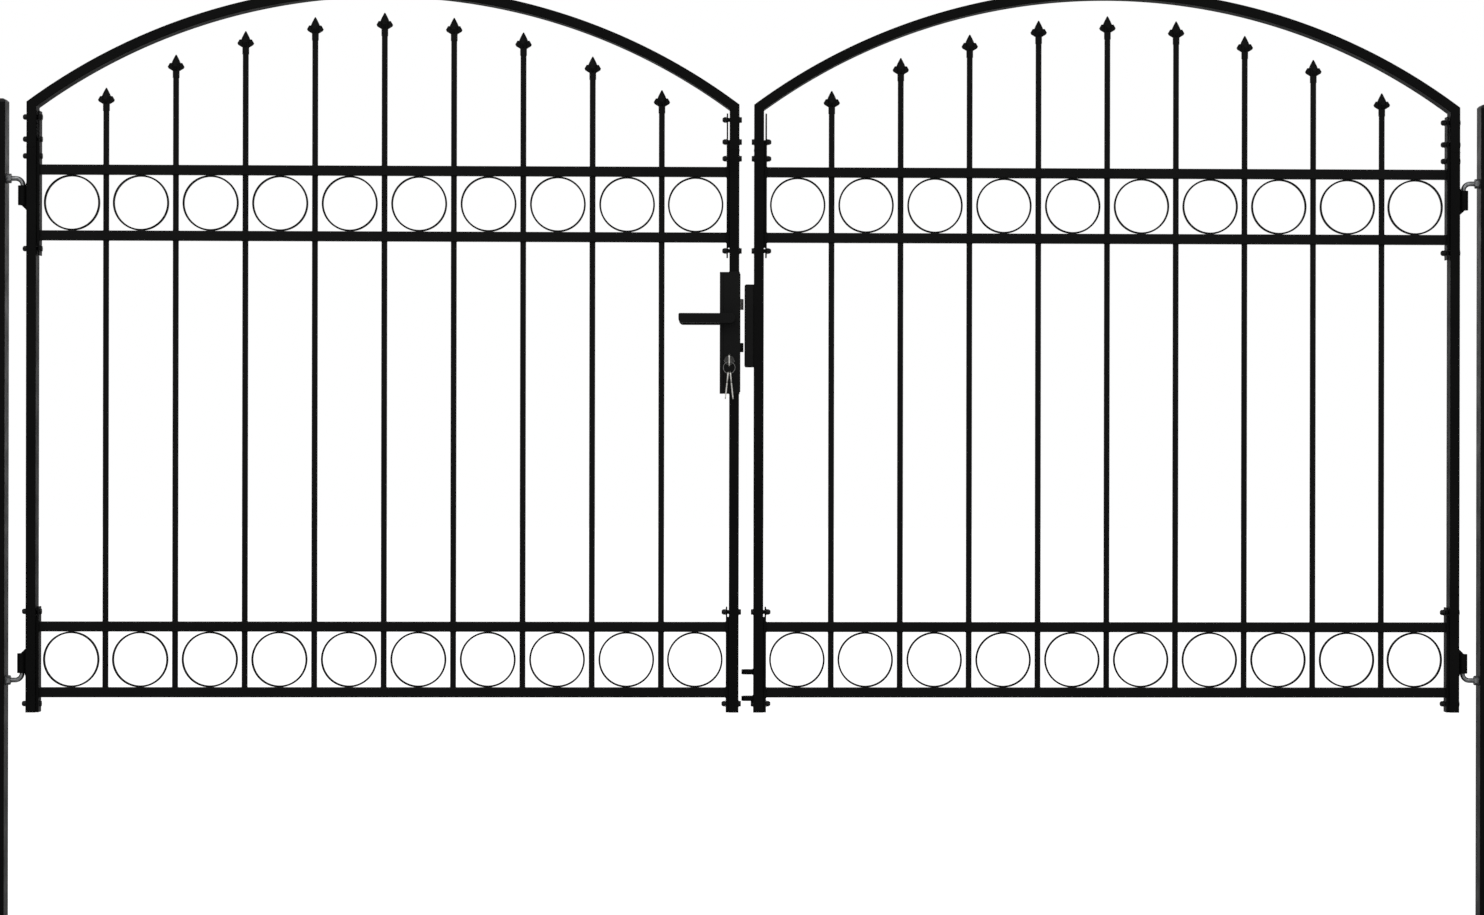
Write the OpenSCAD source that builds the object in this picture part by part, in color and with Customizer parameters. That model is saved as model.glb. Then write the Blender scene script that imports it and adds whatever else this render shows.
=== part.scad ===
// Double garden gate: two arched tube leaves with ring bands and spear-headed pickets,
// hung between square posts on bent hinge pins and closed by a lever lock.
// Millimetres, +Z up. X runs along the gate, -Y faces the visitor.
// The origin is the middle of the left post's foot.

/* [Posts] */
// Clear opening between the two posts
clear_opening = 3000; // [2600:10:3400]
// Side of the square post tube
post_side = 50; // [40:1:60]
// Wall of the post tube
post_wall = 2; // [1.5:0.1:3]
// Outer corner radius of the post tube
post_corner = 4; // [3:0.5:6]
// Height of the post tube above the top of the stiles
post_over = 90; // [60:5:200]
// Thickness of the plate that closes the post's foot
foot_t = 3; // [2:0.5:6]
// Height of the cap above the post tube
cap_h = 8; // [6:1:12]
// Depth of the cap's plug inside the post tube
cap_plug = 18; // [10:1:30]

/* [Hinges] */
// Gap between a post and its leaf
hinge_gap = 42; // [42:1:60]
// Diameter of the bent hinge pin
pin_d = 10; // [8:0.5:12]
// Centre-line radius of the pin's bend
pin_bend = 14; // [12:1:16]
// Outer diameter of the hinge barrel
barrel_d = 20; // [18:1:24]
// Length of the hinge barrel
barrel_h = 40; // [30:1:60]
// Width of the weld seat between barrel and stile
weld_w = 13; // [10:1:16]
// Middle of the lower barrel above the leaf's underside
lower_hinge_z = 99; // [90:1:130]
// Middle of the upper barrel below the top of the stiles
upper_hinge_drop = 97; // [85:1:130]
// Width across flats of the pin's nuts
nut_af = 17; // [15:0.5:19]
// Thickness of the pin's nuts
nut_h = 7; // [6:0.5:10]
// Diameter of the washers under the nuts
washer_d = 21; // [19:0.5:24]
// Thickness of the washers under the nuts
washer_t = 2; // [1.5:0.1:2.5]

/* [Leaf frame] */
// Gap between the two leaves
meeting_gap = 30; // [28:1:40]
// Underside of the leaves above the post's foot
leaf_lift = 520; // [300:5:600]
// Face width of the frame tube
frame_w = 20; // [18:0.5:24]
// Depth of the frame tube
frame_d = 40; // [34:1:44]
// Wall of the frame tube
frame_wall = 1.5; // [1:0.1:2.5]
// Outer corner radius of the stile tube
frame_corner = 2; // [1.8:0.1:4]
// Height of the stiles, up to the arch's legs
stile_h = 1145; // [1100:5:1200]
// Length of the arch's legs, up to its outer corners
leg_h = 92; // [90:1:130]
// Rise of the arch from its corners to its crown
arch_rise = 239; // [200:1:280]

/* [Infill] */
// Side of the square rail tube
rail_side = 20; // [17:0.5:22]
// Wall of the rail tube
rail_wall = 1.2; // [1:0.1:2]
// Outer corner radius of the rail tube
rail_corner = 1.8; // [1.5:0.1:3]
// Underside of the bottom rail above the leaf's underside
bottom_rail_z = 30; // [25:0.5:45]
// Clear height of a ring band
band_gap = 113.5; // [100:0.5:120]
// Top face of the top rail below the top of the stiles
top_rail_drop = 34.5; // [25:0.5:50]
// Thickness of the ring strip
ring_t = 3.4; // [1.5:0.1:4]
// Depth of the ring strip
ring_w = 9; // [6:0.5:14]
// Least gap between a ring and the pickets beside it
ring_gap = 6.8; // [4:0.1:9]
// Gap on both sides of the ring in an end bay
end_ring_gap = 6.5; // [4:0.1:9]
// Diameter of the picket tube
picket_d = 12; // [9:0.5:13]
// Wall of the picket tube
picket_wall = 1; // [0.8:0.1:1.5]

/* [Spearheads] */
// Gap between the arch's crown and the middle spear's tip
tip_gap = 34; // [25:1:60]
// Drop of the outermost tips below the middle one
tip_rise = 155; // [120:1:180]
// Length of the spike above the ears
spike_h = 17; // [12:0.5:24]
// Diameter of the spike at its base
spike_d = 18.5; // [14:0.5:20]
// Height of the ears
ear_h = 16; // [10:0.5:20]
// Span across two ears
ear_span = 33.5; // [28:0.5:40]
// Thickness of an ear
ear_t = 6; // [4:0.5:8]
// Height of the socket below the ears
socket_h = 14; // [10:0.5:24]
// Outer diameter of the socket
socket_d = 13.8; // [13.4:0.1:16]

/* [End channels] */
// Gap between a stile and a channel's web
channel_gap = 3; // [2:0.5:8]
// Thickness of the channel's sheet
channel_t = 3; // [2:0.5:4]
// Depth of the channel
channel_d = 30; // [24:1:34]
// Lap of the upper web over the arch's legs
web_lap = 74; // [60:1:85]
// Lap of the upper flanges over the arch's legs
flange_lap = 13; // [8:1:25]
// Reach of the web past the inner rail of its band
web_tail = 31; // [26:1:45]
// Reach of the flanges past the inner rail of their band
flange_tail = 10; // [6:1:20]

/* [Lock] */
// Gap between the upper end channel and the lock case
lock_drop = 30; // [10:0.5:80]
// Height of the lock case
lock_h = 247; // [240:1:260]
// Depth of the lock case
lock_d = 44; // [42:1:50]
// Width of the lock's bolt case
case_w = 34; // [32:0.5:38]
// Width of the side box behind the bolt case
side_box_w = 8; // [6:0.5:12]
// Reach of the bolt case past the meeting stile
case_proud = 2.6; // [1:0.1:3]
// Chamfer on the bolt case's outer ends
case_chamfer = 4; // [2:0.5:6]
// Sheet of the lock case
case_wall = 2; // [1.5:0.1:2.5]
// Setback of the lever's spindle from the meeting edge
spindle_setback = 18; // [15:0.5:20]
// Height of the lever above the lock case's underside
lever_z = 152; // [146:1:158]
// Side of the square spindle
spindle_side = 8; // [7:0.5:9]
// Diameter of the lever's neck
neck_d = 17; // [15:0.5:20]
// Length of the lever's neck
neck_h = 26; // [20:1:40]
// Height of the lever's grip
grip_h = 20; // [16:0.5:24]
// Thickness of the lever's grip
grip_t = 11; // [8:0.5:14]
// Length of the lever from its spindle to its end
grip_l = 105; // [90:1:130]
// Radius of the lower corner at the lever's end
grip_round = 8.5; // [4:0.5:10]
// Radius of the upper corner at the lever's end
grip_edge = 3; // [2:0.5:6]
// Height of the latch above the lock case's underside
latch_z = 182; // [180:1:190]
// Height of the latch
latch_h = 22; // [18:0.5:24]
// Thickness of the latch
latch_t = 14; // [10:0.5:16]
// Height of the dead bolt above the lock case's underside
bolt_z = 94; // [90:1:100]
// Height of the dead bolt
bolt_h = 18.5; // [14:0.5:20]
// Thickness of the dead bolt
bolt_t = 12; // [8:0.5:14]
// Reach of latch and dead bolt past the case, at rest
bolt_reach = 6.4; // [5:0.1:6.5]
// Length of latch and dead bolt inside the case, at rest
bolt_tail = 22; // [20:0.5:23]
// Height of the key cylinder above the lock case's underside
cylinder_z = 67; // [58:1:70]
// Setback of the key cylinder from the meeting edge
cylinder_setback = 20; // [15:0.5:20.5]
// Diameter of the key cylinder
cylinder_d = 20; // [17:0.5:21]
// Reach of the key cylinder past the case's faces
cylinder_proud = 4; // [2:0.5:8]
// Diameter of the turning plug in the key cylinder
plug_d = 13; // [12:0.5:15]
// Width and depth of the groove round the plug
plug_groove = 0.6; // [0.4:0.1:1]

/* [Keys] */
// Thickness of a key
key_t = 2.4; // [2:0.1:3]
// Width of a key's blade
blade_w = 8; // [6:0.5:9]
// Length of a key's blade
blade_l = 33; // [22:1:36]
// Depth of the deepest cut in a key's blade
cut_depth = 2.6; // [1.5:0.1:3]
// Distance between the cuts in a key's blade
cut_pitch = 4; // [3.5:0.1:4.2]
// Width of a key's bow
bow_w = 26; // [24:0.5:32]
// Length of a key's bow
bow_l = 23; // [20:0.5:28]
// Diameter of the hole in a key's bow
bow_hole = 8; // [7:0.5:9]
// Diameter of the key ring at the middle of its wire
ring_d = 24; // [22:0.5:30]
// Diameter of the key ring's wire
ring_wire = 1.4; // [1.2:0.1:2.2]
// Tilt of the two hanging keys from the plumb line
key_splay = 6; // [5:0.5:10]

/* [Keeper and lugs] */
// Reach of the keeper towards the lock
keeper_w = 19; // [15:0.5:20]
// Depth of the keeper
keeper_d = 38; // [34:1:42]
// Sheet of the keeper
keeper_t = 3; // [2:0.5:4]
// Underside of the keeper above the lock case's underside
keeper_z = 54; // [45:1:60]
// Height of the keeper
keeper_h = 168; // [160:1:180]
// Corner radius of the keeper's flanges
keeper_corner = 4; // [2:0.5:8]
// Reach of the drop rod's lugs past the meeting stile
lug_l = 24; // [22:0.5:25]
// Depth of the lugs
lug_d = 22; // [18:0.5:30]
// Thickness of the lugs
lug_t = 10; // [6:0.5:12]
// Middle of the lower lug above the leaf's underside
lug_z = 28; // [20:1:40]
// Distance between the middles of the two lugs
lug_pitch = 54; // [40:1:70]
// Diameter of the hole for a drop rod
rod_hole = 13; // [10:0.5:16]

/* [Fits] */
// Clearance of a piece in its hole, and of a ring between its rails
fit = 0.2; // [0.1:0.05:0.4]
// Clearance at a moving piece
running_fit = 0.3; // [0.2:0.05:0.5]

/* [Hidden] */
$fn = 48;
big_fn = 240;
// How far a cut runs past the face it opens
past = 1;
// Depth of the spindle's ends in the levers
spindle_grip = 14;
// Rim of a key's bow outside its hole
bow_rim = 3;
// Half the spacing of the hanging keys along their ring
key_step = 2.4;
// Free length of the hinge pin's threaded end past its nut
thread_end = 3;
// Solid middle of the key cylinder between its two keyways
cam_t = 10;
// Depths of a key's cuts from the bow to the tip, as shares of the deepest one
key_cuts = [0.7, 1, 0.5, 0.9, 0.6];

coat = "#17181a";
plastic = "#1c1c1d";
zinc = "#9a9da0";
latch_steel = "#7d7b78";
key_metal = "#bcb9ab";

post_pitch = clear_opening + post_side;
post_h = leaf_lift + stile_h + post_over;
leaf_w = (clear_opening - meeting_gap) / 2 - hinge_gap;
leaf_x = post_side / 2 + hinge_gap;
hinge_x = -barrel_d / 2;
upper_hinge_z = stile_h - upper_hinge_drop;
arm_off = barrel_h / 2 + pin_bend + running_fit;
arm_zs = [lower_hinge_z - arm_off, upper_hinge_z + arm_off];

corner_z = stile_h + leg_h;
crown_z = corner_z + arch_rise;
arch_r = (leaf_w * leaf_w / 4 + arch_rise * arch_rise) / (2 * arch_rise);

rail_x = frame_w + channel_gap + channel_t;
rail_l = leaf_w - 2 * rail_x;
rail_pitch = band_gap + rail_side;
rail_1 = bottom_rail_z + rail_side / 2;
rail_2 = rail_1 + rail_pitch;
rail_4 = stile_h - top_rail_drop - rail_side / 2;
rail_3 = rail_4 - rail_pitch;
lower_band_top = rail_2 + rail_side / 2;
upper_band_foot = rail_3 - rail_side / 2;

ring_od = band_gap - 2 * fit;
first_picket = rail_x + 2 * end_ring_gap + ring_od + picket_d / 2;
picket_span = leaf_w - 2 * first_picket;
bays = floor(picket_span / (ring_od + picket_d + 2 * ring_gap));
pitch = picket_span / bays;
picket_xs = [for (i = [0:bays]) first_picket + i * pitch];
end_bay_x = (rail_x + first_picket - picket_d / 2) / 2;
middle_bay_xs = [for (i = [1:bays]) first_picket + (i - 0.5) * pitch];
ring_xs = concat([end_bay_x], middle_bay_xs, [leaf_w - end_bay_x]);
picket_foot = rail_1 - rail_side / 2 + rail_wall;
spear_h = socket_h + ear_h + spike_h;
socket_depth = socket_h - 2;
tip_top = crown_z - frame_w - tip_gap;
function tip_z(x) = tip_top - tip_rise * pow(2 * (x - leaf_w / 2) / picket_span, 2);

case_face = leaf_w + case_proud;
case_x = case_face - case_w;
lock_top = upper_band_foot - web_tail - lock_drop;
lock_z = lock_top - lock_h;
spindle_x = leaf_w - spindle_setback;
spindle_hole = spindle_side * sqrt(2) + 2 * running_fit;
lever_foot = lock_d / 2 + running_fit;
cylinder_x = leaf_w - cylinder_setback;
cylinder_axis_z = lock_z + cylinder_z;
cylinder_face = lock_d / 2 + cylinder_proud;
bow_hole_y = -(cylinder_face + bow_l - bow_rim - bow_hole / 2);
key_ring_z = cylinder_axis_z - bow_hole / 2 + ring_wire / 2 + fit - ring_d / 2;

// Places of the posts and leaves

module at_right_post() {
    translate([post_pitch, 0, 0]) mirror([1, 0, 0]) children();
}

module on_left_leaf() {
    translate([leaf_x, 0, leaf_lift]) children();
}

module on_right_leaf() {
    at_right_post() on_left_leaf() children();
}

module at_both_stiles() {
    children();
    translate([leaf_w, 0, 0]) mirror([1, 0, 0]) children();
}

// Shared shapes

module rounded_rectangle(w, d, r) {
    square([w - 2 * r, d], center = true);
    square([w, d - 2 * r], center = true);
    for (x = [-1, 1], y = [-1, 1])
        translate([x * (w / 2 - r), y * (d / 2 - r)]) circle(r);
}

module tube_section(w, d, wall, r) {
    difference() {
        rounded_rectangle(w, d, r);
        rounded_rectangle(w - 2 * wall, d - 2 * wall, max(r - wall, 0.2));
    }
}

// An outline drawn as seen from the front, given a depth that is centred on the gate
module seen_from_front(depth) {
    rotate([90, 0, 0]) linear_extrude(depth, center = true) children();
}

module rod_through_gate(x, z, d, depth) {
    translate([x, 0, z]) rotate([90, 0, 0]) cylinder(d = d, h = depth, center = true);
}

// Posts

module post() {
    bore_side = post_side - 2 * post_wall;
    difference() {
        linear_extrude(post_h) rounded_rectangle(post_side, post_side, post_corner);
        translate([0, 0, foot_t]) linear_extrude(post_h)
            rounded_rectangle(bore_side, bore_side, post_corner - post_wall);
        for (z = arm_zs)
            translate([0, 0, leaf_lift + z]) rotate([0, 90, 0])
                cylinder(d = pin_d + 2 * fit, h = post_side + 2 * past, center = true);
    }
}

module post_cap() {
    rim_h = cap_h / 2;
    crown_side = post_side - cap_h;
    plug_side = post_side - 2 * post_wall - 2 * fit;
    translate([0, 0, post_h]) {
        hull($fn = 32) {
            linear_extrude(rim_h) rounded_rectangle(post_side, post_side, post_corner);
            linear_extrude(cap_h) rounded_rectangle(crown_side, crown_side, post_corner);
        }
        translate([0, 0, -cap_plug]) linear_extrude(cap_plug)
            rounded_rectangle(plug_side, plug_side, post_corner - post_wall);
    }
}

// Hinges

// A bent pin whose arm passes through the post: way is 1 where the pin points up, -1 where it points down
module hinge_pin(z, way) {
    axis_x = leaf_x + hinge_x;
    arm_start = -post_side / 2 - washer_t - nut_h - thread_end;
    shank = arm_off - pin_bend + barrel_h / 2 - past;
    translate([0, 0, leaf_lift + z - way * arm_off]) {
        translate([arm_start, 0, 0]) rotate([0, 90, 0])
            cylinder(d = pin_d, h = axis_x - pin_bend - arm_start);
        translate([axis_x - pin_bend, 0, way * pin_bend])
            rotate([90, 0, 0]) rotate(way > 0 ? -90 : 0) rotate_extrude(angle = 90)
                translate([pin_bend, 0]) circle(d = pin_d);
        translate([axis_x, 0, way > 0 ? pin_bend : -pin_bend - shank])
            cylinder(d = pin_d, h = shank);
    }
}

module hinge_pins() {
    hinge_pin(lower_hinge_z, 1);
    hinge_pin(upper_hinge_z, -1);
}

module nut_and_washer() {
    difference() {
        union() {
            cylinder(d = washer_d, h = washer_t);
            translate([0, 0, washer_t]) intersection() {
                cylinder(d = nut_af / cos(30), h = nut_h, $fn = 6);
                cylinder(d1 = nut_af + 2 * nut_h / tan(30), d2 = nut_af, h = nut_h);
            }
        }
        translate([0, 0, -past]) cylinder(d = pin_d + 2 * fit, h = washer_t + nut_h + 2 * past);
    }
}

module hinge_nuts() {
    for (z = arm_zs, side = [-1, 1])
        translate([side * post_side / 2, 0, leaf_lift + z]) rotate([0, side * 90, 0]) nut_and_washer();
}

module hinge_barrels() {
    for (z = [lower_hinge_z, upper_hinge_z])
        translate([hinge_x, 0, z]) difference() {
            union() {
                cylinder(d = barrel_d, h = barrel_h, center = true);
                translate([barrel_d / 4, 0, 0]) cube([barrel_d / 2, weld_w, barrel_h], center = true);
            }
            cylinder(d = pin_d + 2 * running_fit, h = barrel_h + 2 * past, center = true);
        }
}

// Leaf frame

// The area under the arch and between its legs, drawn in by inset, from foot upwards
module arch_area(inset, foot) {
    intersection() {
        translate([leaf_w / 2, crown_z - arch_r]) circle(arch_r - inset, $fn = big_fn);
        translate([inset, foot]) square([leaf_w - 2 * inset, crown_z - foot]);
    }
}

module arch() {
    difference() {
        seen_from_front(frame_d) difference() {
            arch_area(0, stile_h);
            arch_area(frame_w, stile_h - past);
        }
        seen_from_front(frame_d - 2 * frame_wall) difference() {
            arch_area(frame_wall, stile_h - past);
            arch_area(frame_w - frame_wall, stile_h - 2 * past);
        }
    }
}

module stile(z, h) {
    translate([frame_w / 2, 0, z]) linear_extrude(h)
        tube_section(frame_w, frame_d, frame_wall, frame_corner);
}

module at_meeting_edge() {
    translate([leaf_w - frame_w, 0, 0]) children();
}

// Infill

module rail(z, drill_z) {
    difference() {
        translate([rail_x, 0, z]) rotate([90, 0, 90]) linear_extrude(rail_l)
            tube_section(rail_side, rail_side, rail_wall, rail_corner);
        for (x = picket_xs)
            translate([x, 0, drill_z]) cylinder(d = picket_d + 2 * fit, h = 2 * rail_side);
    }
}

module upper_rails() {
    for (z = [rail_3, rail_4]) rail(z, z - rail_side);
}

module lower_rails() {
    rail(rail_1, rail_1);
    rail(rail_2, rail_2 - rail_side);
}

module pickets() {
    for (x = picket_xs)
        translate([x, 0, picket_foot]) difference() {
            cylinder(d = picket_d, h = tip_z(x) - spear_h + socket_depth - picket_foot);
            translate([0, 0, -past]) cylinder(d = picket_d - 2 * picket_wall, h = crown_z);
        }
}

module rings(lower_rail) {
    for (x = ring_xs)
        translate([0, 0, lower_rail + rail_pitch / 2]) difference() {
            rod_through_gate(x, 0, ring_od, ring_w, $fn = big_fn);
            rod_through_gate(x, 0, ring_od - 2 * ring_t, ring_w + 2 * past, $fn = big_fn);
        }
}

// Spearheads

// The round body of a spearhead above its socket: it swells to the ears' top and runs out into a blunt tip
module spike() {
    steps = 4;
    tip_r = 1;
    side = [for (i = [0:steps])
        let (t = i / steps) [tip_r + (spike_d / 2 - tip_r) * (1 - pow(t, 1.15)), ear_h + spike_h * t]];
    rotate_extrude() polygon(concat([[0, 0], [socket_d / 2, 0]], side, [[0, ear_h + spike_h]]));
}

module ears() {
    half = ear_span / 2;
    core = socket_d / 2;
    right = [[core, 0], [0.9 * half, 0.31 * ear_h], [half, 0.53 * ear_h], [0.74 * half, ear_h]];
    left = [for (i = [len(right) - 1:-1:0]) [-right[i].x, right[i].y]];
    seen_from_front(ear_t) polygon(concat(right, left));
}

module spearhead() {
    difference() {
        union() {
            cylinder(d = socket_d, h = socket_h);
            translate([0, 0, socket_h]) spike();
            for (turn = [0, 90]) translate([0, 0, socket_h]) rotate(turn) ears();
        }
        translate([0, 0, -past]) cylinder(d = picket_d + 2 * fit, h = socket_depth + past);
    }
}

module spearheads() {
    for (x = picket_xs) translate([x, 0, tip_z(x) - spear_h]) spearhead();
}

// End channels

module end_channel(web_foot, web_top, flange_foot, flange_top) {
    translate([frame_w + channel_gap, -channel_d / 2, web_foot])
        cube([channel_t, channel_d, web_top - web_foot]);
    for (y = [-channel_d / 2, channel_d / 2 - channel_t])
        translate([frame_w, y, flange_foot])
            cube([channel_gap + channel_t, channel_t, flange_top - flange_foot]);
}

module end_channels() {
    at_both_stiles() {
        end_channel(0, lower_band_top + web_tail, 0, lower_band_top + flange_tail);
        end_channel(upper_band_foot - web_tail, stile_h + web_lap,
                    upper_band_foot - flange_tail, stile_h + flange_lap);
    }
}

// Lock

// Outline of the bolt case drawn in by inset, with its open side at start
module case_outline(inset, start) {
    face = case_face - inset;
    bevel = face - case_chamfer;
    polygon([
        [start, lock_z + inset], [bevel, lock_z + inset], [face, lock_z + inset + case_chamfer],
        [face, lock_top - inset - case_chamfer], [bevel, lock_top - inset], [start, lock_top - inset]
    ]);
}

module bolt_slot(z, h, t) {
    translate([case_face, 0, lock_z + z])
        cube([4 * case_wall, t + 2 * running_fit, h + 2 * running_fit], center = true);
}

module lock_case() {
    color(coat) on_left_leaf() difference() {
        seen_from_front(lock_d) case_outline(0, case_x);
        seen_from_front(lock_d - 2 * case_wall) case_outline(case_wall, case_x - past);
        rod_through_gate(spindle_x, lock_z + lever_z, spindle_hole, lock_d + 2 * past);
        rod_through_gate(cylinder_x, cylinder_axis_z, cylinder_d + 2 * fit, lock_d + 2 * past);
        bolt_slot(latch_z, latch_h, latch_t);
        bolt_slot(bolt_z, bolt_h, bolt_t);
    }
}

module lock_side_box() {
    color(coat) on_left_leaf() translate([case_x - side_box_w, 0, lock_z]) difference() {
        translate([0, -lock_d / 2, 0]) cube([side_box_w, lock_d, lock_h]);
        translate([case_wall, case_wall - lock_d / 2, case_wall])
            cube([side_box_w, lock_d - 2 * case_wall, lock_h - 2 * case_wall]);
    }
}

module keyway(start, l) {
    slot_w = key_t + 2 * fit;
    slot_h = blade_w + 2 * fit;
    translate([-slot_w / 2, start, -slot_h / 2]) cube([slot_w, l + past, slot_h]);
}

module plug_ring(face) {
    translate([0, face, 0]) rotate([90, 0, 0]) difference() {
        cylinder(d = plug_d + 2 * plug_groove, h = 2 * plug_groove, center = true);
        cylinder(d = plug_d, h = 3 * plug_groove, center = true);
    }
}

module key_cylinder() {
    front_depth = blade_l + fit;
    back_depth = 2 * cylinder_face - front_depth - cam_t;
    color(zinc) on_left_leaf() translate([cylinder_x, 0, cylinder_axis_z]) difference() {
        rod_through_gate(0, 0, cylinder_d, 2 * cylinder_face);
        keyway(-cylinder_face - past, front_depth);
        keyway(cylinder_face - back_depth, back_depth);
        for (face = [-cylinder_face, cylinder_face]) plug_ring(face);
    }
}

// A key standing on its bow's shoulder: blade downwards, flat sides to left and right
module key_blank() {
    half = blade_w / 2;
    rotate([90, 0, 90]) linear_extrude(key_t, center = true) difference() {
        union() {
            translate([0, bow_l / 2]) rounded_rectangle(bow_w, bow_l, bow_l / 3);
            polygon([
                [-half, bow_l / 2], [-half, half - blade_l], [-half / 4, -blade_l],
                [half / 4, -blade_l], [half, half - blade_l], [half, bow_l / 2]
            ]);
        }
        translate([0, bow_l - bow_rim - bow_hole / 2]) circle(d = bow_hole);
        for (i = [0:len(key_cuts) - 1])
            translate([half, -(i + 1) * cut_pitch]) rotate(45)
                square(key_cuts[i] * cut_depth * sqrt(2), center = true);
    }
}

module key_in_lock() {
    color(key_metal) on_left_leaf() translate([cylinder_x, -cylinder_face, cylinder_axis_z])
        rotate([90, 0, 0]) key_blank();
}

module key_ring() {
    color(key_metal) on_left_leaf() translate([cylinder_x, bow_hole_y, key_ring_z])
        rotate([90, 0, 0]) rotate_extrude() translate([ring_d / 2, 0]) circle(d = ring_wire);
}

module spare_keys() {
    wire_drop = sqrt(pow(ring_d / 2, 2) - pow(key_step, 2));
    seat = ring_wire / 2 + fit + bow_rim - bow_l;
    color(key_metal) on_left_leaf()
        for (side = [-1, 1])
            translate([cylinder_x + side * key_step, bow_hole_y, key_ring_z - wire_drop])
                rotate([0, -side * key_splay, 0]) translate([0, 0, seat]) key_blank();
}

// The lever's grip seen from the front, with its spindle at the origin
module grip_outline() {
    circle(d = grip_h);
    translate([grip_round - grip_l, -grip_h / 2]) square([grip_l - grip_round, grip_h]);
    translate([grip_edge - grip_l, 0]) square([grip_l - grip_edge, grip_h / 2]);
    translate([-grip_l, grip_round - grip_h / 2]) square([grip_l, grip_h - grip_round - grip_edge]);
    translate([grip_round - grip_l, grip_round - grip_h / 2]) circle(grip_round);
    translate([grip_edge - grip_l, grip_h / 2 - grip_edge]) circle(grip_edge);
}

// The lever of the visitor's side
module lever() {
    grip_y = -lever_foot - neck_h - grip_t / 2;
    socket_w = spindle_side + 2 * fit;
    difference() {
        translate([spindle_x, 0, lock_z + lever_z]) {
            translate([0, -lever_foot, 0]) rotate([90, 0, 0]) cylinder(d = neck_d, h = neck_h + grip_t / 2);
            translate([0, grip_y, 0]) seen_from_front(grip_t) grip_outline();
        }
        translate([spindle_x, 0, lock_z + lever_z])
            cube([socket_w, 2 * (lever_foot + spindle_grip), socket_w], center = true);
    }
}

module front_lever() {
    color(coat) on_left_leaf() lever();
}

module back_lever() {
    color(coat) on_left_leaf() mirror([0, 1, 0]) lever();
}

module lever_spindle() {
    color(zinc) on_left_leaf() translate([spindle_x, 0, lock_z + lever_z])
        cube([spindle_side, 2 * (lever_foot + spindle_grip), spindle_side], center = true);
}

module latch() {
    tip = case_face + bolt_reach;
    half = latch_t / 2;
    color(latch_steel) on_left_leaf() translate([0, 0, lock_z + latch_z - latch_h / 2])
        linear_extrude(latch_h) polygon([
            [case_face - bolt_tail, -half], [case_face + running_fit, -half], [tip, half / 2],
            [tip, half], [case_face - bolt_tail, half]
        ]);
}

module dead_bolt() {
    tip = case_face + bolt_reach;
    half = bolt_t / 2;
    bevel = bolt_t / 8;
    color(coat) on_left_leaf() translate([0, 0, lock_z + bolt_z - bolt_h / 2])
        linear_extrude(bolt_h) polygon([
            [case_face - bolt_tail, -half], [tip - bevel, -half], [tip, bevel - half],
            [tip, half - bevel], [tip - bevel, half], [case_face - bolt_tail, half]
        ]);
}

// Keeper and lugs

module keeper() {
    color(coat) on_right_leaf() translate([leaf_w, 0, lock_z + keeper_z + keeper_h / 2]) difference() {
        seen_from_front(keeper_d) intersection() {
            rounded_rectangle(2 * keeper_w, keeper_h, keeper_corner);
            translate([0, -keeper_h / 2]) square([keeper_w, keeper_h]);
        }
        translate([keeper_t, keeper_t - keeper_d / 2, -keeper_h / 2 - past])
            cube([keeper_w, keeper_d - 2 * keeper_t, keeper_h + 2 * past]);
    }
}

module drop_rod_lugs() {
    eye_x = lug_l - lug_d / 2;
    color(coat) on_right_leaf()
        for (z = [lug_z, lug_z + lug_pitch])
            translate([leaf_w, 0, z - lug_t / 2]) linear_extrude(lug_t) difference() {
                union() {
                    translate([0, -lug_d / 2]) square([eye_x, lug_d]);
                    translate([eye_x, 0]) circle(d = lug_d);
                }
                translate([eye_x, 0]) circle(d = rod_hole);
            }
}

// Named pieces

module left_post() { color(coat) post(); }
module right_post() { color(coat) at_right_post() post(); }
module left_post_cap() { color(plastic) post_cap(); }
module right_post_cap() { color(plastic) at_right_post() post_cap(); }
module left_hinge_pins() { color(zinc) hinge_pins(); }
module right_hinge_pins() { color(zinc) at_right_post() hinge_pins(); }
module left_hinge_nuts() { color(zinc) hinge_nuts(); }
module right_hinge_nuts() { color(zinc) at_right_post() hinge_nuts(); }

module left_arch() { color(coat) on_left_leaf() arch(); }
module left_hinge_stile() { color(coat) on_left_leaf() stile(0, stile_h); }
module left_meeting_stile() {
    color(coat) on_left_leaf() at_meeting_edge() {
        stile(0, lock_z);
        stile(lock_top, stile_h - lock_top);
    }
}
module left_upper_rails() { color(coat) on_left_leaf() upper_rails(); }
module left_lower_rails() { color(coat) on_left_leaf() lower_rails(); }
module left_pickets() { color(coat) on_left_leaf() pickets(); }
module left_spearheads() { color(coat) on_left_leaf() spearheads(); }
module left_upper_rings() { color(coat) on_left_leaf() rings(rail_3); }
module left_lower_rings() { color(coat) on_left_leaf() rings(rail_1); }
module left_end_channels() { color(coat) on_left_leaf() end_channels(); }
module left_hinge_barrels() { color(coat) on_left_leaf() hinge_barrels(); }

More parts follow.
